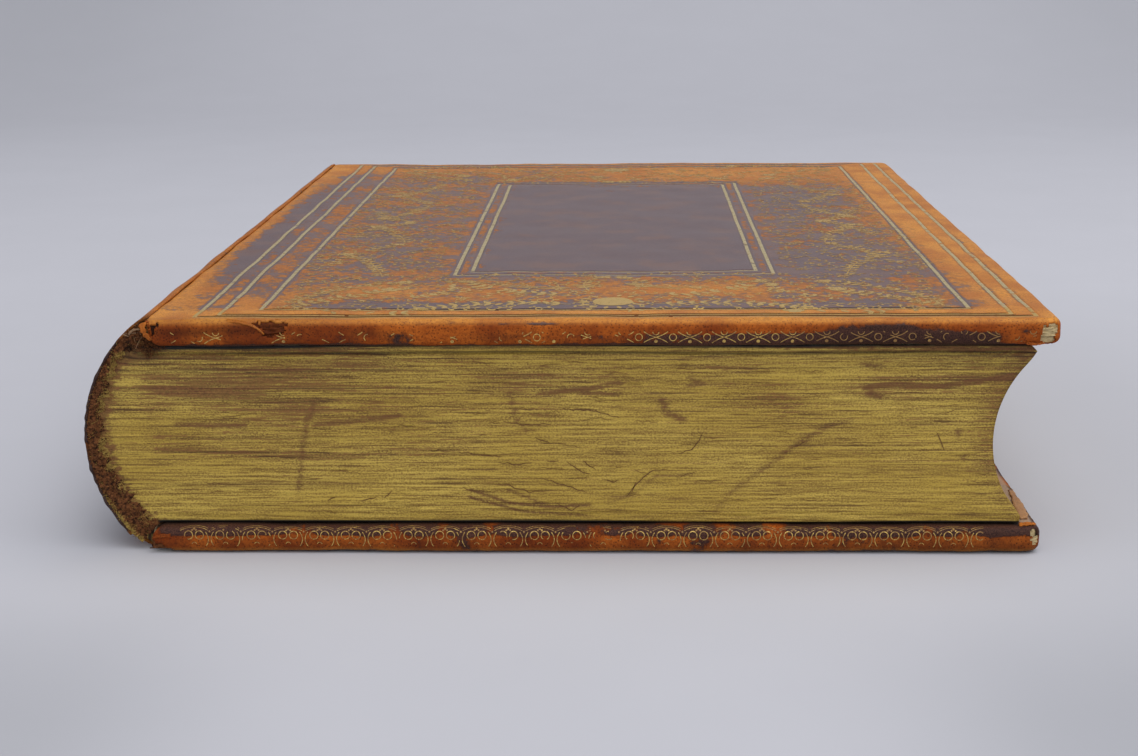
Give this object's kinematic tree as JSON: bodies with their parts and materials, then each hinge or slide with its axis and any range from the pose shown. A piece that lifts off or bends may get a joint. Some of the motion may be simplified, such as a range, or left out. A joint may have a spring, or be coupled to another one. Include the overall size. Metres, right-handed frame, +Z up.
{
  "type": "antique bible",
  "caption": "Closed antique bible with rounded back, raised bands, gilt hollow fore-edge and worn full leather over pasteboard covers that open on their joints.",
  "frame": {"origin": "on the table, under the middle of the closed book's box", "axes": "+X from the back to the fore-edge, +Y from tail to head, +Z up from the back cover to the front cover"},
  "size_m": [0.1988, 0.254, 0.0489],
  "materials": {
    "gilt_leaves": "leaf edges burnished with gold, worn",
    "calf_leather": "tan calf with a worn dark purple-brown surface, half glossy",
    "pasteboard": "layered, fibrous, matt",
    "endpaper": "aged, matt",
    "lining_paper": "aged, matt",
    "hemp_cord": "twisted fibre",
    "silk": "wound silk thread"
  },
  "bodies": {
    "book_block": {"text_block": "gilt_leaves", "headband": "silk", "spine_leather": "calf_leather", "sewing_cord_1": "hemp_cord", "sewing_cord_2": "hemp_cord", "sewing_cord_3": "hemp_cord", "sewing_cord_4": "hemp_cord", "sewing_cord_5": "hemp_cord", "spine_lining_1": "lining_paper", "spine_lining_2": "lining_paper", "spine_lining_3": "lining_paper", "spine_lining_4": "lining_paper", "spine_lining_5": "lining_paper", "spine_lining_6": "lining_paper"},
    "front_cover": {"front_board": "pasteboard", "front_leather": "calf_leather", "front_pastedown": "endpaper", "front_slip_1": "hemp_cord", "front_slip_2": "hemp_cord", "front_slip_3": "hemp_cord", "front_slip_4": "hemp_cord", "front_slip_5": "hemp_cord"},
    "back_cover": {"back_board": "pasteboard", "back_leather": "calf_leather", "back_pastedown": "endpaper", "back_slip_1": "hemp_cord", "back_slip_2": "hemp_cord", "back_slip_3": "hemp_cord", "back_slip_4": "hemp_cord", "back_slip_5": "hemp_cord"}
  },
  "joints": [
    {"name": "front_cover_hinge", "type": "hinge", "parent": "book_block", "child": "front_cover", "pos_m": [-0.08462, 0, 0.0489], "axis": [0, -1, 0], "range_deg": [0, 180]},
    {"name": "back_cover_hinge", "type": "hinge", "parent": "book_block", "child": "back_cover", "pos_m": [-0.08662, 0, 0], "axis": [0, 1, 0], "range_deg": [0, 180]}
  ]
}
